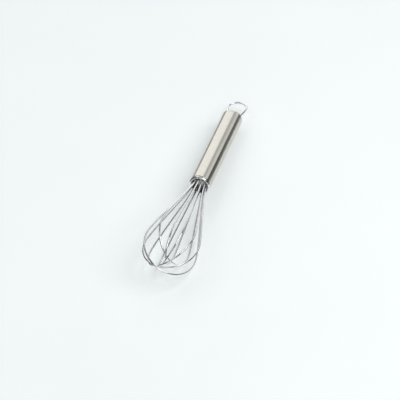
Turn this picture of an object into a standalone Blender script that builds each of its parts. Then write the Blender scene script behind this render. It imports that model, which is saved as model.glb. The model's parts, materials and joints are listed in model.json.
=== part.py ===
"""Balloon whisk: a tube handle, six nested wire loops and a wire hanging loop.

Every sub-part is an object of its own. Each is modelled along the whisk's own axis: +Z runs from the
handle's mouth (z = 0) to the tip of the cage, and +X points down. One empty, whisk_axis, then lays the
whisk on the plane z = 0, with the tip towards the world's +X.
"""

from math import cos, pi, radians, sin, tan

import bmesh
import bpy
from mathutils import Matrix, Vector

MM = 0.001
CLEARANCE = 0.3 * MM            # between pieces that touch on the real whisk
SAFE_MERGE = 0.00001

# Handle tube
HANDLE_DIAMETER = 19.0 * MM
HANDLE_LENGTH = 108.0 * MM      # from the ring's mouth to the cap's flat end
TUBE_WALL = 0.8 * MM

# Polished ring at the mouth
MOUTH_OPENING = 14.6 * MM
RING_SPIGOT = 5.0 * MM

# End cap
CAP_RIM = 2.5 * MM              # the length that shows past the tube
CAP_EDGE_RADIUS = 0.8 * MM
CAP_SPIGOT = 7.0 * MM
CAP_WALL = 1.2 * MM
CAP_FLOOR = 2.0 * MM

# Cage of wire loops
WIRE_DIAMETER = 1.5 * MM
LOOP_COUNT = 6
CAGE_LENGTH = 132.0 * MM        # from the mouth to the outermost loop's tip
CAGE_HALF_WIDTH = 25.0 * MM
NEST_STEP = 4.2 * MM            # each loop's tip stands this far inside the one before it
NEST_WIDTH_STEP = 0.55 * MM
OUTERMOST_TURN = 2              # the outermost loop's plane, in loop steps from the upright plane
NARROW_LOOP = 4                 # this loop stands in the upright plane
NARROW_HALF_WIDTH = 15.7 * MM
CAGE_LEAN = radians(0.8)        # the cage leans sideways, towards +Y

# Shape of one loop, as shares of its length and half width
BELLY_AT = 0.736
MOUTH_HANDLE = 0.12
BELLY_HANDLE = 0.126
SHOULDER_HANDLE = 0.71
TIP_HANDLE = 0.41

# What holds the wires inside the handle
HOLDER_LENGTH = 12.0 * MM
CORE_PIN_DIAMETER = 4.0 * MM
CORE_HEAD_DIAMETER = 7.0 * MM
CORE_HEAD_HEIGHT = 1.2 * MM
LEG_IN_RESIN = 10.0 * MM
RESIN_FLOOR = 2.0 * MM

# Hanging loop and the disc that keeps it in the cap
HANGER_WIRE_DIAMETER = 2.1 * MM
HANGER_LEG_SPACING = 9.6 * MM
HANGER_WIDTH = 16.4 * MM        # between the wire's centre lines, at the widest place
HANGER_LENGTH = 25.2 * MM       # from the cap's flat end to the wire's centre line at the top
HANGER_WIDEST_AT = 17.2 * MM
HANGER_PEAK = 0.04              # how far the top is peaked, as a share of its arch
HANGER_BEND_RADIUS = 1.8 * MM
HANGER_FOOT_END = 1.2 * MM      # from the axis to the end of each bent foot
RETAINER_THICKNESS = 1.2 * MM

# Fineness of the meshes
LATHE_STEPS = 48
HOLE_SIDES = 16
WIRE_RESOLUTION = 16
WIRE_BEVEL_RESOLUTION = 2
ARC_POINTS = 7

# Bezier handles
QUARTER_HANDLE = 0.5523         # of a quarter circle, as a share of its radius
EVEN_HANDLE = 1 / 3             # of a straight span, as a share of it
HANGER_FLARE = 1 / 4            # where the hanging loop leaves the cap, as a share of the way to its widest

# Search for the resting pose
STEEPEST_PITCH = radians(30)
PITCH_HALVINGS = 40
ROLL_ROUNDS = 8
REST_POINTS = 48                # on each span of a wire

# Derived sizes
HANDLE_RADIUS = HANDLE_DIAMETER / 2
TUBE_BORE_RADIUS = HANDLE_RADIUS - TUBE_WALL
INSERT_RADIUS = TUBE_BORE_RADIUS - CLEARANCE
MOUTH_RADIUS = MOUTH_OPENING / 2
RING_BEAD_RADIUS = (HANDLE_RADIUS - MOUTH_RADIUS) / 2
RING_FLANGE = 2 * RING_BEAD_RADIUS
RING_END_Z = -(RING_FLANGE + RING_SPIGOT)
CAP_END_Z = -HANDLE_LENGTH
CAP_RIM_Z = CAP_END_Z + CAP_RIM
CAP_INNER_RADIUS = INSERT_RADIUS - CAP_WALL
WIRE_RADIUS = WIRE_DIAMETER / 2
LEG_CIRCLE_RADIUS = MOUTH_RADIUS - CLEARANCE - WIRE_RADIUS
LEG_HOLE_RADIUS = WIRE_RADIUS + CLEARANCE
HOLDER_TOP_Z = RING_END_Z - CLEARANCE
HOLDER_BOTTOM_Z = HOLDER_TOP_Z - HOLDER_LENGTH
RESIN_TOP_Z = HOLDER_BOTTOM_Z - CLEARANCE
LEG_END_Z = RESIN_TOP_Z - LEG_IN_RESIN
RESIN_BOTTOM_Z = LEG_END_Z - CLEARANCE - RESIN_FLOOR
HANGER_WIRE_RADIUS = HANGER_WIRE_DIAMETER / 2
HANGER_LEG_Y = HANGER_LEG_SPACING / 2
HANGER_HOLE_RADIUS = HANGER_WIRE_RADIUS + CLEARANCE
RETAINER_BOTTOM_Z = CAP_END_Z + CAP_FLOOR + CLEARANCE
RETAINER_TOP_Z = RETAINER_BOTTOM_Z + RETAINER_THICKNESS
HANGER_FOOT_Z = RETAINER_TOP_Z + CLEARANCE + HANGER_WIRE_RADIUS


# ---------------------------------------------------------------- materials

def material(name, color, roughness, metallic):
    """A Principled material."""
    made = bpy.data.materials.new(name)
    made.use_nodes = True
    shader = made.node_tree.nodes["Principled BSDF"]
    shader.inputs["Base Color"].default_value = (*color, 1.0)
    shader.inputs["Roughness"].default_value = roughness
    shader.inputs["Metallic"].default_value = metallic
    return made


# ---------------------------------------------------------------- helpers

def add_object(name, data, finish, axis):
    """An object of the given data, in the scene, carried by the whisk's axis."""
    made = bpy.data.objects.new(name, data)
    made.data.materials.append(finish)
    made.parent = axis
    bpy.context.collection.objects.link(made)
    return made


def arc(center_r, center_z, radius, start, end):
    """Points of an arc in the (r, z) plane, with the angles in degrees from +r towards +z."""
    turns = [radians(start + (end - start) * i / (ARC_POINTS - 1)) for i in range(ARC_POINTS)]
    return [(center_r + radius * cos(a), center_z + radius * sin(a)) for a in turns]


def lathe(name, outline, finish, axis, closed):
    """Turn an outline of (r, z) points about Z. It runs down the outer side first.

    A closed outline makes a ring. An open one starts and ends on the axis.
    """
    mesh = bpy.data.meshes.new(name)
    points = [(r, 0.0, z) for r, z in outline]
    edges = [(i, i + 1) for i in range(len(points) - 1)]
    if closed:
        edges.append((len(points) - 1, 0))
    mesh.from_pydata(points, edges, [])
    made = add_object(name, mesh, finish, axis)
    screw = made.modifiers.new("turn", "SCREW")
    screw.steps = LATHE_STEPS
    screw.render_steps = LATHE_STEPS
    screw.use_merge_vertices = True
    screw.merge_threshold = SAFE_MERGE
    screw.use_smooth_shade = True
    return made


def drill(target, holes, axis):
    """Cut round holes parallel to Z. Each hole is (x, y, radius, low z, high z)."""
    mesh = bpy.data.meshes.new(target.name + "_drill")
    cutter_shape = bmesh.new()
    for x, y, radius, low, high in holes:
        made = bmesh.ops.create_cone(
            cutter_shape, cap_ends=True, segments=HOLE_SIDES, radius1=radius, radius2=radius, depth=high - low
        )
        bmesh.ops.translate(cutter_shape, verts=made["verts"], vec=(x, y, (low + high) / 2))
    cutter_shape.to_mesh(mesh)
    cutter_shape.free()
    cutter = bpy.data.objects.new(target.name + "_drill", mesh)
    cutter.parent = axis
    cutter.hide_render = True
    cutter.display_type = "WIRE"
    bpy.context.collection.objects.link(cutter)
    cut = target.modifiers.new("holes", "BOOLEAN")
    cut.operation = "DIFFERENCE"
    cut.solver = "EXACT"
    cut.object = cutter


def wire(name, knots, diameter, finish, axis):
    """A round wire along Bezier knots. Each knot is (left handle, point, right handle)."""
    curve = bpy.data.curves.new(name, "CURVE")
    curve.dimensions = "3D"
    curve.resolution_u = WIRE_RESOLUTION
    curve.render_resolution_u = 0
    curve.bevel_depth = diameter / 2
    curve.bevel_resolution = WIRE_BEVEL_RESOLUTION
    curve.use_fill_caps = True
    spline = curve.splines.new("BEZIER")
    spline.bezier_points.add(len(knots) - 1)
    for knot, (left, point, right) in zip(spline.bezier_points, knots):
        knot.handle_left_type = "FREE"
        knot.handle_right_type = "FREE"
        knot.handle_left = left
        knot.co = point
        knot.handle_right = right
    return add_object(name, curve, finish, axis)


def leg_places():
    """The (x, y) places of the wire legs on their circle inside the mouth."""
    turns = [pi * i / LOOP_COUNT for i in range(2 * LOOP_COUNT)]
    return [(LEG_CIRCLE_RADIUS * cos(a), LEG_CIRCLE_RADIUS * sin(a)) for a in turns]


# ---------------------------------------------------------------- handle

def build_handle_tube(finish, axis):
    top = -(RING_FLANGE + CLEARANCE)
    bottom = CAP_RIM_Z + CLEARANCE
    outline = [
        (HANDLE_RADIUS, top),
        (HANDLE_RADIUS, bottom),
        (TUBE_BORE_RADIUS, bottom),
        (TUBE_BORE_RADIUS, top),
    ]
    return lathe("handle_tube", outline, finish, axis, closed=True)


def build_mouth_ring(finish, axis):
    """A rounded bead over the tube's end, on a spigot that is pressed into the bore."""
    bead_r = HANDLE_RADIUS - RING_BEAD_RADIUS
    outline = arc(bead_r, -RING_BEAD_RADIUS, RING_BEAD_RADIUS, 180, 0)
    outline += [
        (HANDLE_RADIUS, -RING_FLANGE),
        (INSERT_RADIUS, -RING_FLANGE),
        (INSERT_RADIUS, RING_END_Z),
        (MOUTH_RADIUS, RING_END_Z),
    ]
    return lathe("mouth_ring", outline, finish, axis, closed=True)


def build_end_cap(finish, axis):
    """A cup pressed into the tube's far end, with a rounded edge and a flat face."""
    floor_z = CAP_END_Z + CAP_FLOOR
    top_z = CAP_RIM_Z + CAP_SPIGOT
    edge_r = HANDLE_RADIUS - CAP_EDGE_RADIUS
    outline = [
        (0.0, floor_z),
        (CAP_INNER_RADIUS, floor_z),
        (CAP_INNER_RADIUS, top_z),
        (INSERT_RADIUS, top_z),
        (INSERT_RADIUS, CAP_RIM_Z),
        (HANDLE_RADIUS, CAP_RIM_Z),
    ]
    outline += arc(edge_r, CAP_END_Z + CAP_EDGE_RADIUS, CAP_EDGE_RADIUS, 0, -90)
    outline.append((0.0, CAP_END_Z))
    cap = lathe("end_cap", outline, finish, axis, closed=False)
    low, high = CAP_END_Z - CAP_FLOOR, floor_z + CAP_FLOOR
    drill(cap, [(0.0, side * HANGER_LEG_Y, HANGER_HOLE_RADIUS, low, high) for side in (-1, 1)], axis)
    return cap


# ---------------------------------------------------------------- what holds the wires

def build_wire_holder(finish, axis):
    outline = [
        (0.0, HOLDER_TOP_Z),
        (INSERT_RADIUS, HOLDER_TOP_Z),
        (INSERT_RADIUS, HOLDER_BOTTOM_Z),
        (0.0, HOLDER_BOTTOM_Z),
    ]
    holder = lathe("wire_holder", outline, finish, axis, closed=False)
    low, high = HOLDER_BOTTOM_Z - MM, HOLDER_TOP_Z + MM
    holes = [(x, y, LEG_HOLE_RADIUS, low, high) for x, y in leg_places()]
    holes.append((0.0, 0.0, CORE_PIN_DIAMETER / 2 + CLEARANCE, low, high))
    drill(holder, holes, axis)
    return holder


def build_core_pin(finish, axis):
    """A headed pin in the holder's middle hole."""
    shoulder = HOLDER_TOP_Z + CLEARANCE
    head_radius = CORE_HEAD_DIAMETER / 2
    pin_radius = CORE_PIN_DIAMETER / 2
    outline = [
        (0.0, shoulder + CORE_HEAD_HEIGHT),
        (head_radius, shoulder + CORE_HEAD_HEIGHT),
        (head_radius, shoulder),
        (pin_radius, shoulder),
        (pin_radius, HOLDER_BOTTOM_Z),
        (0.0, HOLDER_BOTTOM_Z),
    ]
    return lathe("core_pin", outline, finish, axis, closed=False)


def build_resin_plug(finish, axis):
    """Cast behind the holder, around the ends of the legs."""
    outline = [
        (0.0, RESIN_TOP_Z),
        (INSERT_RADIUS, RESIN_TOP_Z),
        (INSERT_RADIUS, RESIN_BOTTOM_Z),
        (0.0, RESIN_BOTTOM_Z),
    ]
    resin = lathe("resin_plug", outline, finish, axis, closed=False)
    low, high = LEG_END_Z - CLEARANCE, RESIN_TOP_Z + MM
    drill(resin, [(x, y, LEG_HOLE_RADIUS, low, high) for x, y in leg_places()], axis)
    return resin


# ---------------------------------------------------------------- wire loops

def loop_sizes(rank):
    """Length, half width and plane of a loop, counted inwards from the outermost one."""
    length = CAGE_LENGTH - rank * NEST_STEP
    half_width = CAGE_HALF_WIDTH - rank * NEST_WIDTH_STEP
    if rank == NARROW_LOOP:
        half_width = NARROW_HALF_WIDTH
    return length, half_width, pi * (rank + OUTERMOST_TURN) / LOOP_COUNT


def loop_knots(rank):
    """Bezier knots of one loop: leg end, mouth, belly, tip, and back down the other side."""
    length, half_width, turn = loop_sizes(rank)
    belly_z = BELLY_AT * length

    def place(r, z):
        lean = tan(CAGE_LEAN) * max(z, 0.0)
        return Vector((r * cos(turn), r * sin(turn) + lean, z))

    def side(sign):
        base, wide = sign * LEG_CIRCLE_RADIUS, sign * half_width
        leg_third = LEG_END_Z * EVEN_HANDLE
        leg_end = (place(base, LEG_END_Z), place(base, LEG_END_Z), place(base, LEG_END_Z - leg_third))
        mouth = (place(base, leg_third), place(base, 0.0), place(base, MOUTH_HANDLE * length))
        shoulder_z = belly_z + SHOULDER_HANDLE * (length - belly_z)
        belly = (place(wide, belly_z - BELLY_HANDLE * length), place(wide, belly_z), place(wide, shoulder_z))
        return [leg_end, mouth, belly]

    tip_r = TIP_HANDLE * half_width
    tip = (place(tip_r, length), place(0.0, length), place(-tip_r, length))
    way_back = [(right, point, left) for left, point, right in reversed(side(-1))]
    return side(1) + [tip] + way_back


def build_wire_loops(finish, axis):
    return [
        wire(f"wire_loop_{rank + 1}", loop_knots(rank), WIRE_DIAMETER, finish, axis)
        for rank in range(LOOP_COUNT)
    ]


# ---------------------------------------------------------------- hanging loop

def hanger_knots():
    """Bezier knots of the hanging loop: bent foot, leg, widest place, top, and back."""
    top_z = CAP_END_Z - HANGER_LENGTH
    wide_z = CAP_END_Z - HANGER_WIDEST_AT
    bend = HANGER_BEND_RADIUS
    reach = QUARTER_HANDLE * bend
    arch = HANGER_LENGTH - HANGER_WIDEST_AT

    def side(sign):
        leg_y, wide_y = sign * HANGER_LEG_Y, sign * HANGER_WIDTH / 2
        foot_y, bend_y = sign * HANGER_FOOT_END, sign * (HANGER_LEG_Y - bend)
        bend_z = HANGER_FOOT_Z - bend
        foot_third = (bend_y - foot_y) * EVEN_HANDLE
        leg_third = (bend_z - CAP_END_Z) * EVEN_HANDLE

        def place(y, z):
            return Vector((0.0, y, z))

        foot = (
            place(foot_y, HANGER_FOOT_Z),
            place(foot_y, HANGER_FOOT_Z),
            place(foot_y + foot_third, HANGER_FOOT_Z),
        )
        bend_start = (
            place(bend_y - foot_third, HANGER_FOOT_Z),
            place(bend_y, HANGER_FOOT_Z),
            place(bend_y + sign * reach, HANGER_FOOT_Z),
        )
        bend_end = (place(leg_y, bend_z + reach), place(leg_y, bend_z), place(leg_y, bend_z - leg_third))
        face = (
            place(leg_y, CAP_END_Z + leg_third),
            place(leg_y, CAP_END_Z),
            place(leg_y, CAP_END_Z - HANGER_WIDEST_AT * HANGER_FLARE),
        )
        widest = (
            place(wide_y, wide_z + HANGER_WIDEST_AT * EVEN_HANDLE),
            place(wide_y, wide_z),
            place(wide_y, wide_z - QUARTER_HANDLE * arch),
        )
        return [foot, bend_start, bend_end, face, widest]

    top_y, top_fall = QUARTER_HANDLE * HANGER_WIDTH / 2, HANGER_PEAK * arch
    top = (
        Vector((0.0, top_y, top_z + top_fall)),
        Vector((0.0, 0.0, top_z)),
        Vector((0.0, -top_y, top_z + top_fall)),
    )
    way_back = [(right, point, left) for left, point, right in reversed(side(-1))]
    return side(1) + [top] + way_back


def build_hanging_loop(finish, axis):
    return wire("hanging_loop", hanger_knots(), HANGER_WIRE_DIAMETER, finish, axis)


def build_loop_retainer(finish, axis):
    radius = CAP_INNER_RADIUS - CLEARANCE
    outline = [
        (0.0, RETAINER_TOP_Z),
        (radius, RETAINER_TOP_Z),
        (radius, RETAINER_BOTTOM_Z),
        (0.0, RETAINER_BOTTOM_Z),
    ]
    retainer = lathe("loop_retainer", outline, finish, axis, closed=False)
    low, high = RETAINER_BOTTOM_Z - MM, RETAINER_TOP_Z + MM
    drill(retainer, [(0.0, side * HANGER_LEG_Y, HANGER_HOLE_RADIUS, low, high) for side in (-1, 1)], axis)
    return retainer


# ---------------------------------------------------------------- resting pose

def bezier_points(knots, count):
    """Points along a chain of Bezier spans."""
    points = []
    for (_, start, out), (back, end, _) in zip(knots, knots[1:]):
        for i in range(count + 1):
            t = i / count
            s = 1 - t
            points.append(start * s**3 + out * 3 * s * s * t + back * 3 * s * t * t + end * t**3)
    return points


def drop_of(point, pitch):
    """How far a point reaches below the mouth's centre once the whisk is pitched."""
    return point.x * cos(pitch) - point.z * sin(pitch)


def lowest_of(points, pitch):
    return max(points, key=lambda point: drop_of(point, pitch))


def rest_pitch(wires):
    """The pitch at which the cage and the cap's edge both touch one level plane."""
    edge = Vector((HANDLE_RADIUS - CAP_EDGE_RADIUS, 0.0, CAP_END_Z + CAP_EDGE_RADIUS))
    low, high = 0.0, STEEPEST_PITCH
    for _ in range(PITCH_HALVINGS):
        pitch = (low + high) / 2
        cage_drop = drop_of(lowest_of(wires, pitch), pitch) + WIRE_RADIUS
        if cage_drop > drop_of(edge, pitch) + CAP_EDGE_RADIUS:
            low = pitch
        else:
            high = pitch
    return pitch


def rest_turns(wires):
    """Pitch and roll at which the cage rests on a wire on either side, as it would on a table."""
    roll = 0.0
    for _ in range(ROLL_ROUNDS):
        rolled = [Matrix.Rotation(roll, 3, "Z") @ p for p in wires]
        pitch = rest_pitch(rolled)
        right = lowest_of([p for p in rolled if p.y > 0], pitch)
        left = lowest_of([p for p in rolled if p.y < 0], pitch)
        roll += (drop_of(right, pitch) - drop_of(left, pitch)) / (right.y - left.y)
    return pitch, roll


def build_axis():
    """The empty that lays the whisk down on z = 0, with its outer box centred on the origin."""
    wires = [p for rank in range(LOOP_COUNT) for p in bezier_points(loop_knots(rank), REST_POINTS)]
    pitch, roll = rest_turns(wires)
    rolled = [Matrix.Rotation(roll, 3, "Z") @ p for p in wires]
    front = max(p.x * sin(pitch) + p.z * cos(pitch) for p in rolled) + WIRE_RADIUS
    back = -(HANDLE_LENGTH + HANGER_LENGTH) * cos(pitch) - HANGER_WIRE_RADIUS
    across = [p.y for p in rolled]
    height = drop_of(lowest_of(rolled, pitch), pitch) + WIRE_RADIUS
    axis = bpy.data.objects.new("whisk_axis", None)
    axis.rotation_mode = "ZYX"
    axis.rotation_euler = (0.0, pi / 2 - pitch, roll)
    axis.location = (-(front + back) / 2, -(max(across) + min(across)) / 2, height)
    bpy.context.collection.objects.link(axis)
    return axis


# ---------------------------------------------------------------- assembly

def clear_scene():
    for item in list(bpy.data.objects):
        bpy.data.objects.remove(item, do_unlink=True)


def main():
    clear_scene()
    axis = build_axis()
    satin = material("satin_steel", (0.62, 0.60, 0.57), 0.35, 1.0)
    polished = material("polished_steel", (0.80, 0.80, 0.80), 0.08, 1.0)
    bright_wire = material("bright_wire", (0.74, 0.74, 0.74), 0.15, 1.0)
    plain_steel = material("plain_steel", (0.55, 0.55, 0.55), 0.4, 1.0)
    plastic = material("grey_plastic", (0.12, 0.12, 0.12), 0.6, 0.0)
    resin = material("cast_resin", (0.45, 0.36, 0.22), 0.5, 0.0)

    build_handle_tube(satin, axis)
    build_mouth_ring(polished, axis)
    build_end_cap(satin.copy(), axis)
    build_wire_holder(plastic, axis)
    build_core_pin(plain_steel, axis)
    build_resin_plug(resin, axis)
    build_wire_loops(bright_wire, axis)
    build_hanging_loop(bright_wire.copy(), axis)
    build_loop_retainer(plain_steel.copy(), axis)


main()
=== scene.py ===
"""Balloon whisk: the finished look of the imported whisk, laid out as a Blender add-on.

Local coordinates follow the whisk: z runs along its axis from the handle's mouth towards the tip of the
cage, x points down and y to the left of somebody who looks along the axis towards the tip.
"""

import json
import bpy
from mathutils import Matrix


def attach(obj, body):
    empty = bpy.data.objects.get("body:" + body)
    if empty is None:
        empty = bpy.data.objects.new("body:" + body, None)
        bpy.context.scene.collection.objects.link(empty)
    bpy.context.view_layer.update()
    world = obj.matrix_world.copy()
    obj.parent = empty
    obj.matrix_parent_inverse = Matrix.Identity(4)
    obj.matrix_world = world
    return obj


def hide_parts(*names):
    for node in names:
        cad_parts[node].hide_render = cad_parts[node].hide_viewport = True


bl_info = {
    "name": "Balloon Whisk",
    "version": (1, 0, 0),
    "blender": (4, 5, 0),
    "location": "View3D > Sidebar > Whisk",
    "description": "Builds a stainless balloon whisk, its finishes and a small studio",
    "category": "Add Mesh",
}

import bmesh
import bpy
import numpy as np
from bpy.props import FloatProperty, FloatVectorProperty, IntProperty, PointerProperty
from bpy.types import Operator, Panel, PropertyGroup
from mathutils import Matrix

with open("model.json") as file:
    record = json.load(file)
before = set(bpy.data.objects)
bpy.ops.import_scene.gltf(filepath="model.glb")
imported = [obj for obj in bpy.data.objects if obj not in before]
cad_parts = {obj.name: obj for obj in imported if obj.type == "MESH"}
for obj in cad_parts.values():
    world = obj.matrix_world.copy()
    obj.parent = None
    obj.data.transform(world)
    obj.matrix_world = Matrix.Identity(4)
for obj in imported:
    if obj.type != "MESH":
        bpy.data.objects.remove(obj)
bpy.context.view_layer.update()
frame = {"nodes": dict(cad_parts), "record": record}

BODY = "root"
PREFIX = "whisk_"
MM = 0.001
CLEARANCE = 0.3 * MM
CAP_WALL = 1.2 * MM
CAP_FLOOR = 2.0 * MM
TUBE_ROW, RING_ROW, CAP_ROW = 4.0 * MM, 1.0 * MM, 1.5 * MM
BEAD_STEPS = 49
LIP_STEPS = 6
MERGE_DISTANCE = 1e-7
LOOP_NODES = sorted(name for name in frame["nodes"] if name.startswith("wire_loop_"))


# ---------------------------------------------------------------- what the frame says

def unit(vector):
    return vector / np.linalg.norm(vector)


CAP_MOUNT = next(m for m in frame["record"]["mounts"] if m["name"] == "cap_face")
CAP_CENTER = np.array(CAP_MOUNT["pos_m"])
AXIS_Z = unit(-np.array(CAP_MOUNT["axis"]))
AXIS_Y = unit(np.cross((0.0, 0.0, 1.0), AXIS_Z))
AXIS_X = np.cross(AXIS_Y, AXIS_Z)
AXES = np.stack([AXIS_X, AXIS_Y, AXIS_Z])


def node_points(node):
    """The vertices of a frame node, one row each."""
    mesh = frame["nodes"][node].data
    points = np.empty(len(mesh.vertices) * 3)
    mesh.vertices.foreach_get("co", points)
    return points.reshape(-1, 3)


HANDLE_LENGTH = ((node_points("mouth_ring") - CAP_CENTER) @ AXIS_Z).max()
MOUTH = CAP_CENTER + HANDLE_LENGTH * AXIS_Z


def local_points(node):
    """A node's vertices in the whisk's own coordinates."""
    return (node_points(node) - MOUTH) @ AXES.T


def to_world(points):
    """Whisk coordinates to the frame's."""
    return MOUTH + points @ AXES


def radii(node):
    """Smallest and largest distance of a node's vertices from the axis."""
    distance = np.hypot(*local_points(node)[:, :2].T)
    return distance.min(), distance.max()


def span(node):
    """Lowest and highest z of a node in whisk coordinates."""
    along = local_points(node)[:, 2]
    return along.min(), along.max()


TUBE_INNER, HANDLE_RADIUS = radii("handle_tube")
MOUTH_RADIUS, _ = radii("mouth_ring")
RING_BACK, _ = span("mouth_ring")
TUBE_BACK, TUBE_FRONT = span("handle_tube")


def hanger_roll():
    """The angle from +y of the plane that the hanging loop lies in."""
    points = local_points("hanging_loop")
    _, directions = np.linalg.eigh(np.cov(points[:, :2].T))
    across = directions[:, -1] * np.sign(directions[1, -1])
    return float(np.arctan2(-across[0], across[1]))


HANGER_ROLL = hanger_roll()
HANGER_NORMAL = np.array([np.cos(HANGER_ROLL), np.sin(HANGER_ROLL), 0.0])
HANGER_WIRE = np.ptp(local_points("hanging_loop") @ HANGER_NORMAL) / 2


# ---------------------------------------------------------------- settings

class WhiskHandleSettings(PropertyGroup):
    edge_rounding: FloatProperty(
        name="Edge rounding", description="Radius of the tube's small edges",
        default=0.15 * MM, unit="LENGTH",
    )
    seam: FloatProperty(
        name="Seam", description="Gap between the tube and the cap", default=0.04 * MM, unit="LENGTH"
    )
    cap_edge: FloatProperty(
        name="Cap edge", description="Rounding of the cap's outer edge", default=0.8 * MM, unit="LENGTH"
    )
    columns: IntProperty(name="Columns", description="Faces round the handle", default=192, min=24)
    satin_color: FloatVectorProperty(
        name="Satin steel", description="Colour of the brushed steel", subtype="COLOR",
        default=(0.63, 0.613, 0.555),
    )
    ring_color: FloatVectorProperty(
        name="Polished steel", description="Colour of the polished ring", subtype="COLOR",
        default=(0.88, 0.88, 0.875),
    )


class WhiskCageSettings(PropertyGroup):
    belly_at: FloatProperty(
        name="Belly", description="Where a loop is widest, as a share of its length", default=0.736
    )
    mouth_handle: FloatProperty(
        name="Mouth stiffness", description="Straightness at the mouth, as a share of the length",
        default=0.12,
    )
    belly_handle: FloatProperty(
        name="Belly stiffness", description="Straightness before the belly, as a share of the length",
        default=0.126,
    )
    shoulder_handle: FloatProperty(
        name="Shoulder", description="Fullness after the belly, as a share of the way to the tip",
        default=0.71,
    )
    tip_handle: FloatProperty(
        name="Tip", description="Flatness of the tip, as a share of the half width", default=0.41
    )
    sides: IntProperty(name="Sides", description="Faces round a wire", default=20, min=6)
    steps: IntProperty(name="Steps", description="Rows along each bend of a wire", default=64, min=8)
    wire_color: FloatVectorProperty(
        name="Wire", description="Colour of the bright wire", subtype="COLOR", default=(0.80, 0.80, 0.805)
    )


class WhiskHangerSettings(PropertyGroup):
    leg_spacing: FloatProperty(
        name="Leg spacing", description="Between the loop's legs in the cap", default=9.6 * MM, unit="LENGTH"
    )
    width: FloatProperty(
        name="Width", description="Between the wire's centre lines", default=16.4 * MM, unit="LENGTH"
    )
    length: FloatProperty(
        name="Length", description="From the cap to the wire's centre line", default=25.2 * MM, unit="LENGTH"
    )
    widest_at: FloatProperty(
        name="Widest at", description="Distance of the widest place from the cap",
        default=17.2 * MM, unit="LENGTH",
    )
    peak: FloatProperty(
        name="Peak", description="How far the top is peaked, as a share of its arch", default=0.04
    )


class WhiskStageSettings(PropertyGroup):
    floor_color: FloatVectorProperty(
        name="Floor", description="Colour of the table", subtype="COLOR", default=(0.83, 0.87, 0.88)
    )
    camera_distance: FloatProperty(
        name="Distance", description="From the camera to the whisk", default=15.0, unit="LENGTH"
    )
    view_width: FloatProperty(
        name="View width", description="Width of the view at the whisk", default=355 * MM, unit="LENGTH"
    )
    azimuth: FloatProperty(
        name="Azimuth", description="Turn of the camera from the whisk's own direction",
        default=np.radians(18.9), subtype="ANGLE",
    )
    elevation: FloatProperty(
        name="Elevation", description="Height of the camera above the table",
        default=np.radians(37.6), subtype="ANGLE",
    )
    roll: FloatProperty(
        name="Roll", description="Fitted tilt of the camera about its line of sight",
        default=np.radians(-5.46), subtype="ANGLE",
    )
    aim_right: FloatProperty(
        name="Aim right", description="From the mouth to the middle of the view",
        default=0.7 * MM, unit="LENGTH",
    )
    aim_down: FloatProperty(
        name="Aim down", description="From the mouth to the middle of the view",
        default=12.4 * MM, unit="LENGTH",
    )
    table_radius: FloatProperty(
        name="Table", description="Radius of the round table", default=0.5, unit="LENGTH"
    )


# ---------------------------------------------------------------- meshes

def bezier(start, out, back, end, steps):
    """Cubic Bezier span, without its last point.

    (1-t)^3 start + 3(1-t)^2 t out + 3(1-t) t^2 back + t^3 end, with t from 0 to 1.
    """
    t = np.linspace(0.0, 1.0, steps, endpoint=False)[:, None]
    s = 1.0 - t
    return s**3 * start + 3 * s * s * t * out + 3 * s * t * t * back + t**3 * end


def bezier_chain(knots, steps):
    """Spans through (left handle, point, right handle) knots, as one run of points."""
    spans = [bezier(a[1], a[2], b[0], b[1], steps) for a, b in zip(knots, knots[1:])]
    return np.concatenate(spans + [knots[-1][1][None]])


def along(points):
    """Length travelled at each point of a run."""
    return np.concatenate([[0.0], np.cumsum(np.linalg.norm(np.diff(points, axis=0), axis=1))])


def grid_faces(rows, columns, rows_closed):
    """Quads between neighbouring rows and columns. Columns always close round."""
    row = np.arange(rows if rows_closed else rows - 1)[:, None]
    column = np.arange(columns)[None, :]
    next_row, next_column = (row + 1) % rows, (column + 1) % columns
    corners = [row * columns + column, row * columns + next_column]
    corners += [next_row * columns + next_column, next_row * columns + column]
    return np.stack([c.reshape(-1) for c in corners], axis=1)


def grid_uvs(u, v, rows_closed):
    """Metres along the rows and round the columns at each quad's corners."""
    rows = len(u) - 1
    low_u, high_u = np.repeat(u[:-1], len(v) - 1), np.repeat(u[1:], len(v) - 1)
    low_v, high_v = np.tile(v[:-1], rows), np.tile(v[1:], rows)
    corners = [(low_u, low_v), (low_u, high_v), (high_u, high_v), (high_u, low_v)]
    return np.stack([np.stack(c, axis=1) for c in corners], axis=1).reshape(-1, 2)


def grid_lengths(grid):
    """Length travelled down a grid's rows, along their first column."""
    return along(grid[:, 0])


def joined(parts):
    """Several (points, faces, uvs) as one, each part's faces counted on from the last part's points."""
    points, faces, uvs = zip(*parts)
    starts = np.cumsum([0] + [len(p) for p in points[:-1]])
    moved = [face + start for face, start in zip(faces, starts)]
    return np.concatenate(points), np.concatenate(moved), np.concatenate(uvs)


def make_mesh(name, points, faces, uvs=None):
    """A smooth object from whisk coordinates, quads or other faces, and a UV for each face corner."""
    mesh = bpy.data.meshes.new(name)
    mesh.from_pydata(to_world(points).tolist(), [], [tuple(face) for face in faces])
    if uvs is not None:
        layer = mesh.uv_layers.new(name="surface")
        layer.data.foreach_set("uv", np.asarray(uvs, np.float32).reshape(-1))
    mesh.shade_smooth()
    mesh.validate()
    mesh.update()
    made = bpy.data.objects.new(name, mesh)
    bpy.context.scene.collection.objects.link(made)
    return made


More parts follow.
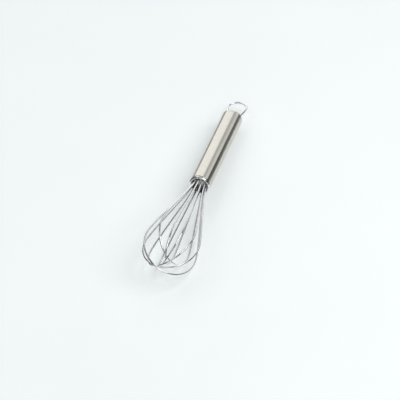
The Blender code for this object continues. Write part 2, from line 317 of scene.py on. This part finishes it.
def rounded(corners, steps=7):
    """A closed or open outline of (r, z, rounding): each corner becomes an arc between its two sides.

    The arc touches both sides at rounding * tan((pi - corner angle) / 2) from the corner. A support point
    stands just outside each end of an arc, so that the flat sides stay flat in the shading.
    """
    places = np.array([c[:2] for c in corners])
    out = []
    count = len(corners)
    for i, (r, z, rounding) in enumerate(corners):
        here = places[i]
        if rounding == 0.0:
            out.append(here[None])
            continue
        before, after = unit(places[i - 1] - here), unit(places[(i + 1) % count] - here)
        half = np.arccos(np.clip(before @ after, -1.0, 1.0)) / 2
        reach, middle = rounding / np.tan(half), here + unit(before + after) * rounding / np.sin(half)
        start, end = here + before * reach, here + after * reach
        a, b = unit(start - middle), unit(end - middle)
        sweep = np.arccos(np.clip(a @ b, -1.0, 1.0))
        t = np.linspace(0.0, 1.0, steps)[:, None]
        turn = (np.sin((1 - t) * sweep) * a + np.sin(t * sweep) * b) / np.sin(sweep)
        support = 0.5 * rounding
        out += [(start + before * support)[None], middle + rounding * turn, (end + after * support)[None]]
    return np.concatenate(out)


def divided(outline, longest, closed):
    """The outline with points added, so that no step is longer than this."""
    ends = np.roll(outline, -1, axis=0) if closed else outline[1:]
    out = []
    for start, end in zip(outline, ends):
        count = int(np.ceil(np.linalg.norm(end - start) / longest - 1e-9))
        t = np.arange(max(count, 1))[:, None] / max(count, 1)
        out.append(start + (end - start) * t)
    if not closed:
        out.append(outline[-1:])
    return np.concatenate(out)


def turned(outline, columns, closed, start=0.0):
    """A surface of revolution: (r, z) becomes (r cos a, r sin a, z), with a from start to a full turn later.

    A closed outline makes a ring. An open one leaves a round opening at each end.
    """
    angle = start + np.arange(columns) * 2 * np.pi / columns
    r, z = outline[:, :1], outline[:, 1:]
    grid = np.stack([r * np.cos(angle), r * np.sin(angle), z + 0 * angle], axis=2)
    faces = grid_faces(len(outline), columns, closed)
    loop = np.concatenate([outline, outline[:1]]) if closed else outline
    uvs = grid_uvs(along(loop), np.arange(columns + 1) * 2 * np.pi * HANDLE_RADIUS / columns, closed)
    return grid.reshape(-1, 3), faces, uvs


def swept(name, path, radius, sides, flat_normal):
    """A round tube along a path: path + radius (cos a * side + sin a * up), with rounded ends.

    side is the cross product of the path's direction and flat_normal, a direction that the path never
    takes, and up is square to both side and the path.
    """
    direction = np.gradient(path, axis=0)
    direction /= np.linalg.norm(direction, axis=1)[:, None]
    side = np.cross(direction, flat_normal)
    side /= np.linalg.norm(side, axis=1)[:, None]
    up = np.cross(side, direction)
    turn = np.linspace(0.0, np.pi / 2, LIP_STEPS)[1:]
    start = path[0] - direction[0] * radius * np.sin(turn[::-1, None])
    end = path[-1] + direction[-1] * radius * np.sin(turn[:, None])
    centers = np.concatenate([start, path, end])
    sizes = np.concatenate([radius * np.cos(turn[::-1]), np.full(len(path), radius), radius * np.cos(turn)])
    side = np.concatenate([np.repeat(side[:1], len(turn), 0), side, np.repeat(side[-1:], len(turn), 0)])
    up = np.concatenate([np.repeat(up[:1], len(turn), 0), up, np.repeat(up[-1:], len(turn), 0)])
    angle = np.arange(sides) * 2 * np.pi / sides
    ring = np.cos(angle)[None, :, None] * side[:, None] + np.sin(angle)[None, :, None] * up[:, None]
    grid = centers[:, None] + sizes[:, None, None] * ring
    faces = grid_faces(len(centers), sides, False)
    uvs = grid_uvs(along(centers), np.arange(sides + 1) * 2 * np.pi * radius / sides, False)
    return closed_up(make_mesh(name, grid.reshape(-1, 3), faces, uvs))


def closed_up(made):
    """Poles and seams merged into single points, and the faces turned outwards."""
    shape = bmesh.new()
    shape.from_mesh(made.data)
    bmesh.ops.remove_doubles(shape, verts=shape.verts, dist=MERGE_DISTANCE)
    bmesh.ops.recalc_face_normals(shape, faces=shape.faces)
    shape.to_mesh(made.data)
    shape.free()
    return made


def settle(made, nodes, finish):
    """Material, body and the frame nodes that the piece stands for."""
    made.data.materials.append(finish)
    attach(made, BODY)
    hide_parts(*nodes)
    return made


# ---------------------------------------------------------------- finishes

def new_finish(name):
    made = bpy.data.materials.new(PREFIX + name)
    made.use_nodes = True
    tree = made.node_tree
    return made, tree, tree.nodes["Principled BSDF"]


def node(tree, kind, **values):
    """A node with its settings, and with its inputs set by socket name where a value is given in a dict."""
    made = tree.nodes.new(kind)
    for key, value in values.items():
        if key == "inputs":
            for socket, content in value.items():
                made.inputs[socket].default_value = content
        else:
            setattr(made, key, value)
    return made


def whisk_coordinates(tree):
    """Object coordinates turned so that their X runs along the whisk's axis."""
    source = node(tree, "ShaderNodeTexCoord")
    turn = node(tree, "ShaderNodeMapping")
    turn.inputs["Rotation"].default_value = (0.0, float(np.arctan2(AXIS_Z[2], AXIS_Z[0])), 0.0)
    tree.links.new(source.outputs["Object"], turn.inputs["Vector"])
    return turn.outputs["Vector"]


def stretched(tree, vector, scale):
    made = node(tree, "ShaderNodeMapping")
    made.inputs["Scale"].default_value = scale
    tree.links.new(vector, made.inputs["Vector"])
    return made.outputs["Vector"]


def noise(tree, vector, scale, detail=2.0, roughness=0.5):
    made = node(tree, "ShaderNodeTexNoise", inputs={"Scale": scale, "Detail": detail, "Roughness": roughness})
    tree.links.new(vector, made.inputs["Vector"])
    return made.outputs["Fac"]


def ranged(tree, value, low, high, from_low=0.3, from_high=0.7):
    made = node(tree, "ShaderNodeMapRange", inputs={
        "From Min": from_low, "From Max": from_high, "To Min": low, "To Max": high,
    })
    tree.links.new(value, made.inputs["Value"])
    return made.outputs["Result"]


def tinted(tree, value, dark, light):
    made = node(tree, "ShaderNodeMix", data_type="RGBA")
    made.inputs["A"].default_value = (*dark, 1.0)
    made.inputs["B"].default_value = (*light, 1.0)
    tree.links.new(value, made.inputs["Factor"])
    return made.outputs["Result"]


def bumped(tree, shader, height, strength, distance):
    made = node(tree, "ShaderNodeBump", inputs={"Strength": strength, "Distance": distance})
    tree.links.new(height, made.inputs["Height"])
    tree.links.new(made.outputs["Normal"], shader.inputs["Normal"])


def shade_of(color, factor):
    return tuple(min(1.0, factor * c) for c in color)


def satin_steel(color):
    """Brushed round the handle: fine rings of noise, long round the tube and short along it."""
    made, tree, shader = new_finish("satin_steel")
    shader.inputs["Metallic"].default_value = 1.0
    shader.inputs["Anisotropic"].default_value = 0.85
    place = whisk_coordinates(tree)
    rings = noise(tree, stretched(tree, place, (5200.0, 90.0, 90.0)), 1.0, 3.0, 0.65)
    clouds = noise(tree, stretched(tree, place, (60.0, 120.0, 120.0)), 1.0, 3.0)
    tree.links.new(
        tinted(tree, ranged(tree, rings, 0.0, 1.0), shade_of(color, 0.90), shade_of(color, 1.06)),
        shader.inputs["Base Color"],
    )
    mixed = node(tree, "ShaderNodeMath", operation="ADD")
    tree.links.new(ranged(tree, rings, 0.13, 0.18), mixed.inputs[0])
    tree.links.new(ranged(tree, clouds, -0.02, 0.03), mixed.inputs[1])
    tree.links.new(mixed.outputs["Value"], shader.inputs["Roughness"])
    grain = node(tree, "ShaderNodeTangent", direction_type="UV_MAP", uv_map="surface")
    tree.links.new(grain.outputs["Tangent"], shader.inputs["Tangent"])
    bumped(tree, shader, rings, 0.08, 0.00001)
    return made


def polished_steel(color):
    """Buffed bright, with faint clouds and a few fine wipe marks round the ring."""
    made, tree, shader = new_finish("polished_steel")
    shader.inputs["Metallic"].default_value = 1.0
    place = whisk_coordinates(tree)
    clouds = noise(tree, stretched(tree, place, (300.0, 220.0, 220.0)), 1.0, 3.0)
    wipes = noise(tree, stretched(tree, place, (4000.0, 150.0, 150.0)), 1.0, 2.0)
    tree.links.new(
        tinted(tree, ranged(tree, clouds, 0.0, 1.0), shade_of(color, 0.96), shade_of(color, 1.02)),
        shader.inputs["Base Color"],
    )
    tree.links.new(ranged(tree, clouds, 0.05, 0.10), shader.inputs["Roughness"])
    bumped(tree, shader, wipes, 0.08, 0.000005)
    return made


def bright_wire(color):
    """Drawn wire: faint marks along its length, from the wire's own UV, under a bright polish."""
    made, tree, shader = new_finish("bright_wire")
    shader.inputs["Metallic"].default_value = 1.0
    uv = node(tree, "ShaderNodeUVMap", uv_map="surface").outputs["UV"]
    drawn = noise(tree, stretched(tree, uv, (60.0, 5000.0, 1.0)), 1.0, 2.0)
    source = node(tree, "ShaderNodeTexCoord").outputs["Object"]
    clouds = noise(tree, source, 140.0, 3.0)
    tree.links.new(
        tinted(tree, ranged(tree, clouds, 0.0, 1.0), shade_of(color, 0.93), shade_of(color, 1.03)),
        shader.inputs["Base Color"],
    )
    tree.links.new(ranged(tree, drawn, 0.04, 0.08), shader.inputs["Roughness"])
    bumped(tree, shader, drawn, 0.10, 0.000005)
    return made


def plain_steel():
    """Sheared strip and rod: grey, with a rolled grain and dull patches."""
    made, tree, shader = new_finish("plain_steel")
    shader.inputs["Metallic"].default_value = 1.0
    place = whisk_coordinates(tree)
    grain = noise(tree, stretched(tree, place, (900.0, 300.0, 4000.0)), 1.0, 3.0)
    tree.links.new(tinted(tree, ranged(tree, grain, 0.0, 1.0), (0.42, 0.42, 0.42), (0.58, 0.58, 0.57)),
                   shader.inputs["Base Color"])
    tree.links.new(ranged(tree, grain, 0.32, 0.48), shader.inputs["Roughness"])
    bumped(tree, shader, grain, 0.2, 0.00001)
    return made


def grey_plastic():
    """Moulded plastic with a fine spark-eroded texture."""
    made, tree, shader = new_finish("grey_plastic")
    source = node(tree, "ShaderNodeTexCoord").outputs["Object"]
    pits = noise(tree, source, 5000.0, 2.0)
    clouds = noise(tree, source, 300.0, 3.0)
    tree.links.new(tinted(tree, ranged(tree, clouds, 0.0, 1.0), (0.40, 0.40, 0.40), (0.48, 0.48, 0.47)),
                   shader.inputs["Base Color"])
    tree.links.new(ranged(tree, pits, 0.45, 0.62), shader.inputs["Roughness"])
    bumped(tree, shader, pits, 0.3, 0.00002)
    return made


def cast_resin():
    """Amber resin, clouded, with a slightly wavy poured face."""
    made, tree, shader = new_finish("cast_resin")
    source = node(tree, "ShaderNodeTexCoord").outputs["Object"]
    clouds = noise(tree, source, 260.0, 4.0)
    waves = noise(tree, source, 500.0, 1.0)
    tree.links.new(tinted(tree, ranged(tree, clouds, 0.0, 1.0), (0.36, 0.27, 0.15), (0.52, 0.42, 0.26)),
                   shader.inputs["Base Color"])
    tree.links.new(ranged(tree, clouds, 0.22, 0.38), shader.inputs["Roughness"])
    bumped(tree, shader, waves, 0.3, 0.0001)
    return made


def matt_card(name, tone):
    """Matt card with a trace of fibre in its tone."""
    made, tree, shader = new_finish(name)
    shader.inputs["Roughness"].default_value = 0.9
    shader.inputs["Specular IOR Level"].default_value = 0.1
    fibre = noise(tree, node(tree, "ShaderNodeTexCoord").outputs["Object"], 800.0, 3.0)
    tree.links.new(tinted(tree, ranged(tree, fibre, 0.0, 1.0), shade_of(tone, 0.9), shade_of(tone, 1.1)),
                   shader.inputs["Base Color"])
    return made


def grey_card():
    return matt_card("grey_card", (0.27, 0.27, 0.27))


def black_card():
    return matt_card("black_card", (0.05, 0.05, 0.05))


TABLE_GLOW = 0.215


def table_top(color):
    """A pale matt acrylic table, lit from below, with a trace of unevenness in its tone."""
    made, tree, shader = new_finish("table_top")
    shader.inputs["Roughness"].default_value = 0.75
    shader.inputs["Emission Color"].default_value = (*color, 1.0)
    shader.inputs["Emission Strength"].default_value = TABLE_GLOW
    source = node(tree, "ShaderNodeTexCoord").outputs["Object"]
    clouds = noise(tree, source, 9.0, 3.0)
    tree.links.new(tinted(tree, ranged(tree, clouds, 0.0, 1.0), shade_of(color, 0.99), shade_of(color, 1.01)),
                   shader.inputs["Base Color"])
    return made


# ---------------------------------------------------------------- handle

class WHISK_OT_handle_tube(Operator):
    """Turn the straight satin tube"""

    bl_idname = "whisk.handle_tube"
    bl_label = "Handle Tube"

    def execute(self, context):
        sizes = context.scene.whisk_handle
        edge, back = sizes.edge_rounding, span("end_cap")[0] + CAP_RIM + sizes.seam
        outline = rounded([
            (HANDLE_RADIUS, TUBE_FRONT, 2 * edge),
            (HANDLE_RADIUS, back, edge),
            (TUBE_INNER, back, edge),
            (TUBE_INNER, TUBE_FRONT, edge),
        ])
        made = make_mesh("satin_tube", *turned(divided(outline, TUBE_ROW, True), sizes.columns, True))
        settle(closed_up(made), ["handle_tube"], finish("satin_steel", sizes.satin_color))
        return {"FINISHED"}


def cap_rim():
    """How much of the cap shows past the tube: up to the step below its spigot."""
    points = local_points("end_cap")
    outer = np.hypot(*points[:, :2].T) > 0.999 * HANDLE_RADIUS
    return points[outer, 2].max() - points[:, 2].min()


CAP_RIM = cap_rim()


class WHISK_OT_mouth_ring(Operator):
    """Turn the polished ring at the handle's mouth"""

    bl_idname = "whisk.mouth_ring"
    bl_label = "Mouth Ring"

    def execute(self, context):
        sizes = context.scene.whisk_handle
        bead = (HANDLE_RADIUS - MOUTH_RADIUS) / 2
        spigot = TUBE_INNER - CLEARANCE
        edge = sizes.edge_rounding
        angle = np.linspace(np.pi, -np.pi / 2, BEAD_STEPS)
        arch = np.stack([HANDLE_RADIUS - bead + bead * np.cos(angle), -bead + bead * np.sin(angle)], axis=1)
        shoulder = rounded([
            (HANDLE_RADIUS - bead, -2 * bead, 0.0),
            (spigot, -2 * bead, 0.0),
            (spigot, RING_BACK, edge),
            (MOUTH_RADIUS, RING_BACK, edge),
            (MOUTH_RADIUS, -bead, 0.0),
        ])
        outline = np.concatenate([arch, shoulder[1:-1]])
        made = make_mesh("polished_ring", *turned(divided(outline, RING_ROW, True), sizes.columns, True))
        settle(closed_up(made), ["mouth_ring"], finish("polished_steel", sizes.ring_color))
        return {"FINISHED"}


class WHISK_OT_end_cap(Operator):
    """Turn the cap and open its two holes"""

    bl_idname = "whisk.end_cap"
    bl_label = "End Cap"

    def execute(self, context):
        sizes, hanger = context.scene.whisk_handle, context.scene.whisk_hanger
        back, front = span("end_cap")
        spigot, edge = TUBE_INNER - CLEARANCE, sizes.edge_rounding
        outline = rounded([
            (0.0, back + CAP_FLOOR, 0.0),
            (spigot - CAP_WALL, back + CAP_FLOOR, edge),
            (spigot - CAP_WALL, front, edge),
            (spigot, front, edge),
            (spigot, back + CAP_RIM, 0.0),
            (HANDLE_RADIUS, back + CAP_RIM, edge),
            (HANDLE_RADIUS, back, sizes.cap_edge),
            (0.0, back, 0.0),
        ], steps=9)[1:-1]
        shell = turned(divided(outline, CAP_ROW, False), sizes.columns, False, HANGER_ROLL)
        ends = [half_end(outline[0], outline[-1], sizes, sign * hanger.leg_spacing / 2) for sign in (1, -1)]
        made = make_mesh("cap_shell", *joined([shell, *ends]))
        settle(closed_up(made), ["end_cap"], finish("satin_steel", sizes.satin_color))
        return {"FINISHED"}


def half_disc(radius, columns, sign):
    """Half of a circle's rim and then its diameter, as (x, y), with y towards the half's own hole."""
    arc = np.linspace(0.0, np.pi, columns // 2 + 1)
    across = np.linspace(-1.0, 1.0, columns // 6 + 1)[1:-1]
    x = np.concatenate([np.cos(arc), across])
    y = np.concatenate([np.sin(arc), 0 * across])
    return radius * np.stack([x, sign * y], axis=1)


def half_end(inside, outside, sizes, hole_y):
    """One half of the cap's end: its inner face, the wall of its hole and its outer face, as one grid.

    Each column runs from a point of the inner half disc to the hole's rim, through the hole, and out to the
    same point of the outer half disc. Both rims lie where a line from the hole's centre crosses them.
    """
    inner = half_disc(inside[0], sizes.columns, np.sign(hole_y))
    outer = half_disc(outside[0], sizes.columns, np.sign(hole_y))
    center = np.array([0.0, hole_y])
    away = (outer - center) / np.linalg.norm(outer - center, axis=1)[:, None]
    edge = sizes.edge_rounding
    turn = np.linspace(0.0, np.pi / 2, LIP_STEPS)
    lip = 1.5 * edge
    flare = np.concatenate([[lip], edge * (1 - np.sin(turn)), edge * (1 - np.cos(turn)), [lip]])
    flare += HANGER_WIRE + CLEARANCE
    rise = edge * (1 - np.cos(turn))
    height = np.concatenate([[inside[1]], inside[1] - rise, outside[1] + rise[::-1], [outside[1]]])
    rows = [inner, *(center + f * away for f in flare), outer]
    heights = [inside[1], *height, outside[1]]
    grid = np.array([
        np.stack([flat[:, 0], flat[:, 1], np.full(len(flat), z)], axis=1) for flat, z in zip(rows, heights)
    ])
    cos, sin = np.cos(HANGER_ROLL), np.sin(HANGER_ROLL)
    grid[..., :2] = grid[..., :2] @ np.array([[cos, sin], [-sin, cos]])
    faces = grid_faces(len(rows), len(inner), False)
    round_rim = np.arange(len(inner) + 1) * 2 * np.pi * HANDLE_RADIUS / len(inner)
    return grid.reshape(-1, 3), faces, grid_uvs(grid_lengths(grid), round_rim, False)


# ---------------------------------------------------------------- wires

LEG_SLICE = 0.2 * MM
TIP_SLICE = 0.05 * MM


def loop_facts(node_name):
    """Direction, leg and wire radius, length, half width, lean and leg end of one loop, from its node."""
    points = local_points(node_name)
    flat, height = points[:, :2], points[:, 2]
    legs = flat[height < height.min() + LEG_SLICE]
    _, directions = np.linalg.eigh(np.cov(legs.T))
    across = directions[:, -1]
    offset = legs @ across
    leg = np.abs(offset).mean()
    wire = (offset[offset > 0].max() - offset[offset > 0].min()) / 2
    length = height.max() - wire
    tip = flat[height > height.max() - TIP_SLICE].mean(axis=0)
    lean = tip / length
    wide = (flat - np.maximum(height, 0.0)[:, None] * lean) @ across
    half_width = (wide.max() - wide.min()) / 2 - wire
    return across, leg, wire, length, half_width, lean, height.min() + wire


def loop_path(node_name, cage):
    """Centre line of one loop: Bezier spans from leg end to mouth, belly, tip and back."""
    across, leg, wire, length, half_width, lean, bottom = loop_facts(node_name)
    belly = cage.belly_at * length

    def place(r, z):
        return np.array([*(across * r + lean * max(z, 0.0)), z])

    def side(sign):
        base, wide = sign * leg, sign * half_width
        shoulder = belly + cage.shoulder_handle * (length - belly)
        return [
            (None, place(base, bottom), place(base, bottom * 2 / 3)),
            (place(base, bottom / 3), place(base, 0.0), place(base, cage.mouth_handle * length)),
            (place(wide, belly - cage.belly_handle * length), place(wide, belly), place(wide, shoulder)),
        ]

    tip_r = cage.tip_handle * half_width
    tip = (place(tip_r, length), place(0.0, length), place(-tip_r, length))
    way_back = [(right, point, left) for left, point, right in reversed(side(-1))]
    path = bezier_chain(side(1) + [tip] + way_back, cage.steps)
    return path, wire, np.array([-across[1], across[0], 0.0])


class WHISK_OT_wire_loops(Operator):
    """Bend the nested wire loops of the cage"""

    bl_idname = "whisk.wire_loops"
    bl_label = "Wire Loops"

    def execute(self, context):
        cage = context.scene.whisk_cage
        for name in LOOP_NODES:
            path, wire, normal = loop_path(name, cage)
            made = swept("bent_" + name, path, wire, cage.sides, normal)
            settle(made, [name], finish("bright_wire", cage.wire_color))
        return {"FINISHED"}


class WHISK_OT_hanging_loop(Operator):
    """Bend the hanging loop"""

    bl_idname = "whisk.hanging_loop"
    bl_label = "Hanging Loop"

    def execute(self, context):
        sizes, cage = context.scene.whisk_hanger, context.scene.whisk_cage
        back, front = -HANDLE_LENGTH, span("hanging_loop")[1]
        across, z = hanger_path(sizes, back, front - HANGER_WIRE, cage.steps).T
        path = np.stack([-np.sin(HANGER_ROLL) * across, np.cos(HANGER_ROLL) * across, z], axis=1)
        made = swept("bent_hanging_loop", path, HANGER_WIRE, cage.sides, HANGER_NORMAL)
        settle(made, ["hanging_loop"], finish("bright_wire", cage.wire_color))
        return {"FINISHED"}


HANGER_BEND = 1.8 * MM
HANGER_FOOT = 1.2 * MM
QUARTER_HANDLE = 0.5523


def hanger_path(sizes, back, foot_z, steps):
    """Centre line of the hanging loop as (across, z): foot, bend, leg, widest place, top, and back."""
    bend, quarter, foot_end = HANGER_BEND, QUARTER_HANDLE, HANGER_FOOT + HANGER_WIRE
    arch = sizes.length - sizes.widest_at

    def side(sign):
        leg, wide = sign * sizes.leg_spacing / 2, sign * sizes.width / 2
        foot, turn_y, turn_z = sign * foot_end, sign * (sizes.leg_spacing / 2 - bend), foot_z - bend
        third, leg_third = (turn_y - foot) / 3, (turn_z - back) / 3
        reach = quarter * bend
        rows = [
            ((foot, foot_z), (foot, foot_z), (foot + third, foot_z)),
            ((turn_y - third, foot_z), (turn_y, foot_z), (turn_y + sign * reach, foot_z)),
            ((leg, turn_z + reach), (leg, turn_z), (leg, turn_z - leg_third)),
            ((leg, back + leg_third), (leg, back), (leg, back - sizes.widest_at / 4)),
            (
                (wide, back - sizes.widest_at * 2 / 3),
                (wide, back - sizes.widest_at),
                (wide, back - sizes.widest_at - quarter * arch),
            ),
        ]
        return [tuple(np.array(p) for p in row) for row in rows]

    top_y, top_z = quarter * sizes.width / 2, back - sizes.length
    fall = top_z + sizes.peak * arch
    top = tuple(np.array(p) for p in ((top_y, fall), (0.0, top_z), (-top_y, fall)))
    way_back = [(right, point, left) for left, point, right in reversed(side(-1))]
    return bezier_chain(side(1) + [top] + way_back, steps // 2)


class WHISK_OT_inner_fittings(Operator):
    """Finish the fittings inside the handle"""

    bl_idname = "whisk.inner_fittings"
    bl_label = "Inner Fittings"

    def execute(self, context):
        for name, made in (
            ("wire_holder", finish("grey_plastic")),
            ("core_pin", finish("plain_steel")),
            ("resin_plug", finish("cast_resin")),
            ("loop_retainer", finish("plain_steel")),
        ):
            frame["nodes"][name].data.materials.clear()
            frame["nodes"][name].data.materials.append(made)
        return {"FINISHED"}


FINISHES = {
    "satin_steel": satin_steel,
    "polished_steel": polished_steel,
    "bright_wire": bright_wire,
    "plain_steel": plain_steel,
    "grey_plastic": grey_plastic,
    "cast_resin": cast_resin,
    "table_top": table_top,
    "grey_card": grey_card,
    "black_card": black_card,
}


def finish(name, *color):
    """The named material, made the first time that it is asked for.

    The frame's own plain materials carry the slots' names, so these have a prefix.
    """
    return bpy.data.materials.get(PREFIX + name) or FINISHES[name](*(tuple(c) for c in color))


# ---------------------------------------------------------------- stage

class WHISK_OT_stage(Operator):
    """Set the table, the lights and the camera"""

    bl_idname = "whisk.stage"
    bl_label = "Stage"

    def execute(self, context):
        sizes = context.scene.whisk_stage
        lay_floor(sizes)
        light_world(context.scene)
        for name, start, end, y, height, card in FLAGS:
            stand_flag(name, start * MM, end * MM, y * MM, height * MM, finish(card))
        hang_lights()
        place_camera(context.scene, sizes)
        context.scene.view_settings.view_transform = "Standard"
        return {"FINISHED"}


def lay_floor(sizes):
    """A flat disc: (r cos a, r sin a, 0)."""
    angle = np.linspace(0.0, 2 * np.pi, 128, endpoint=False)
    rim = sizes.table_radius * np.stack([np.cos(angle), np.sin(angle), 0 * angle], axis=1)
    floor = make_mesh("table", (rim - MOUTH) @ AXES.T, [tuple(range(len(rim)))])
    floor.data.materials.append(finish("table_top", sizes.floor_color))


FLAGS = (
    ("right_handle_flag", -350, -40, 40, 19.5, "grey_card"),
    ("left_handle_flag", -350, -40, -75, 26, "grey_card"),
    ("right_cage_flag", -40, 300, 60, 60, "black_card"),
    ("left_cage_flag", -40, 300, -60, 100, "black_card"),
)


def stand_flag(name, start, end, y, height, card):
    """A low dark card beside the whisk that only reflections see, for the dark lines on bright metal.

    It is a flat upright strip along the world's x, between z = 0 and its height.
    """
    corners = np.array([(start, y, 0.0), (end, y, 0.0), (end, y, height), (start, y, height)])
    flag = make_mesh(name, (corners - MOUTH) @ AXES.T, [(0, 1, 2, 3)])
    flag.data.materials.append(card)
    flag.visible_camera = flag.visible_diffuse = flag.visible_shadow = False


def lobe(tree, direction, azimuth, elevation, inner, outer):
    """1 within inner degrees of a direction, 0 beyond outer degrees, and smooth in between."""
    a, e = np.radians(azimuth), np.radians(elevation)
    near = node(tree, "ShaderNodeVectorMath", operation="DOT_PRODUCT")
    near.inputs[1].default_value = (np.cos(a) * np.cos(e), np.sin(a) * np.cos(e), np.sin(e))
    tree.links.new(direction, near.inputs[0])
    soft = node(tree, "ShaderNodeMapRange", interpolation_type="SMOOTHSTEP", inputs={
        "From Min": float(np.cos(np.radians(outer))), "From Max": float(np.cos(np.radians(inner))),
    })
    tree.links.new(near.outputs["Value"], soft.inputs["Value"])
    return soft.outputs["Result"]


SKY = ((0.0, 0.0), (0.05, 0.0), (0.11, 0.14), (1.0, 0.14))
BACKDROP = (0.90, 0.94, 0.95, 1.0)
PANELS = (
    (200, 25, 24, 38, 1.17),
    (150, 20, 9, 18, 0.58),
    (147, 16, 5, 10, 0.24),
    (12, 32, 14, 30, 1.0),
)


def light_world(scene):
    """A pale room. Reflections see a dark line at its horizon, a grey upper half and soft bright panels."""
    world = bpy.data.worlds.new("studio")
    world.use_nodes = True
    tree = world.node_tree
    background = tree.nodes["Background"]
    source = node(tree, "ShaderNodeTexCoord").outputs["Generated"]
    split = node(tree, "ShaderNodeSeparateXYZ")
    tree.links.new(source, split.inputs["Vector"])
    ramp = node(tree, "ShaderNodeValToRGB")
    for position, _ in SKY[1:-1]:
        ramp.color_ramp.elements.new(position)
    for element, (position, level) in zip(ramp.color_ramp.elements, SKY):
        element.position = position
        element.color = (level, level, level, 1.0)
    tree.links.new(split.outputs["Z"], ramp.inputs["Fac"])
    seen = ramp.outputs["Color"]
    for azimuth, elevation, inner, outer, glow in PANELS:
        add = node(tree, "ShaderNodeMix", data_type="RGBA", blend_type="ADD")
        add.inputs["B"].default_value = (glow, glow, glow, 1.0)
        tree.links.new(lobe(tree, source, azimuth, elevation, inner, outer), add.inputs["Factor"])
        tree.links.new(seen, add.inputs["A"])
        seen = add.outputs["Result"]
    rays = node(tree, "ShaderNodeLightPath")
    mix = node(tree, "ShaderNodeMix", data_type="RGBA")
    mix.inputs["B"].default_value = BACKDROP
    tree.links.new(rays.outputs["Is Camera Ray"], mix.inputs["Factor"])
    tree.links.new(seen, mix.inputs["A"])
    tree.links.new(mix.outputs["Result"], background.inputs["Color"])
    scene.world = world


def posed(right, up, back, place):
    """The matrix of an object whose own x, y and z point these ways."""
    pose = np.eye(4)
    pose[:3] = np.stack([right, up, back, place], axis=1)
    return Matrix(pose.tolist())


def hang_light(name, azimuth, elevation, distance, size, power):
    """A softbox that faces the whisk. Azimuth is from the world's +X towards +Y, in degrees."""
    light = bpy.data.lights.new(name, "AREA")
    light.shape = "RECTANGLE"
    light.size, light.size_y = size
    light.energy = power
    made = bpy.data.objects.new(name, light)
    a, e = np.radians(azimuth), np.radians(elevation)
    away = np.array([np.cos(a) * np.cos(e), np.sin(a) * np.cos(e), np.sin(e)])
    side = unit(np.cross((0.0, 0.0, 1.0), away))
    up = np.cross(away, side)
    made.matrix_world = posed(side, up, away, away * distance)
    made.visible_camera = False
    bpy.context.scene.collection.objects.link(made)
    return made


def hang_lights():
    hang_light("right_softbox", 90, 47, 1.9, (1.5, 1.5), 21.0)
    hang_light("left_softbox", 270, 50, 1.9, (1.6, 1.6), 8.5)


def place_camera(scene, sizes):
    """A long lens aimed a little below the mouth, at the whisk's angle of view."""
    a, e = sizes.azimuth, sizes.elevation
    back = np.array([np.cos(a) * np.cos(e), np.sin(a) * np.cos(e), np.sin(e)])
    level = unit(np.cross((0.0, 0.0, 1.0), back))
    right = np.cos(sizes.roll) * level + np.sin(sizes.roll) * np.cross(back, level)
    up = np.cross(back, right)
    target = MOUTH + sizes.aim_right * right - sizes.aim_down * up
    camera = bpy.data.cameras.new("camera")
    camera.sensor_width = 36.0
    camera.lens = camera.sensor_width * sizes.camera_distance / sizes.view_width
    camera.clip_end = 100.0
    made = bpy.data.objects.new("camera", camera)
    made.matrix_world = posed(right, up, back, target + back * sizes.camera_distance)
    bpy.context.scene.collection.objects.link(made)
    scene.camera = made


# ---------------------------------------------------------------- add-on

OPERATORS = (
    WHISK_OT_handle_tube,
    WHISK_OT_mouth_ring,
    WHISK_OT_end_cap,
    WHISK_OT_wire_loops,
    WHISK_OT_hanging_loop,
    WHISK_OT_inner_fittings,
    WHISK_OT_stage,
)
SETTINGS = {
    "whisk_handle": WhiskHandleSettings,
    "whisk_cage": WhiskCageSettings,
    "whisk_hanger": WhiskHangerSettings,
    "whisk_stage": WhiskStageSettings,
}


class WHISK_PT_panel(Panel):
    """The whisk's pieces and sizes"""

    bl_label = "Balloon Whisk"
    bl_idname = "WHISK_PT_panel"
    bl_space_type = "VIEW_3D"
    bl_region_type = "UI"
    bl_category = "Whisk"

    def draw(self, context):
        for operator in OPERATORS:
            self.layout.operator(operator.bl_idname)
        for name, group in SETTINGS.items():
            box = self.layout.box()
            for key in group.__annotations__:
                box.prop(getattr(context.scene, name), key)


def register():
    for kind in (*SETTINGS.values(), *OPERATORS, WHISK_PT_panel):
        bpy.utils.register_class(kind)
    for name, group in SETTINGS.items():
        setattr(bpy.types.Scene, name, PointerProperty(type=group))


def unregister():
    for name in SETTINGS:
        delattr(bpy.types.Scene, name)
    for kind in reversed((*SETTINGS.values(), *OPERATORS, WHISK_PT_panel)):
        bpy.utils.unregister_class(kind)


def main():
    register()
    bpy.ops.whisk.handle_tube()
    bpy.ops.whisk.mouth_ring()
    bpy.ops.whisk.end_cap()
    bpy.ops.whisk.wire_loops()
    bpy.ops.whisk.hanging_loop()
    bpy.ops.whisk.inner_fittings()
    bpy.ops.whisk.stage()


if __name__ == "__main__":
    main()
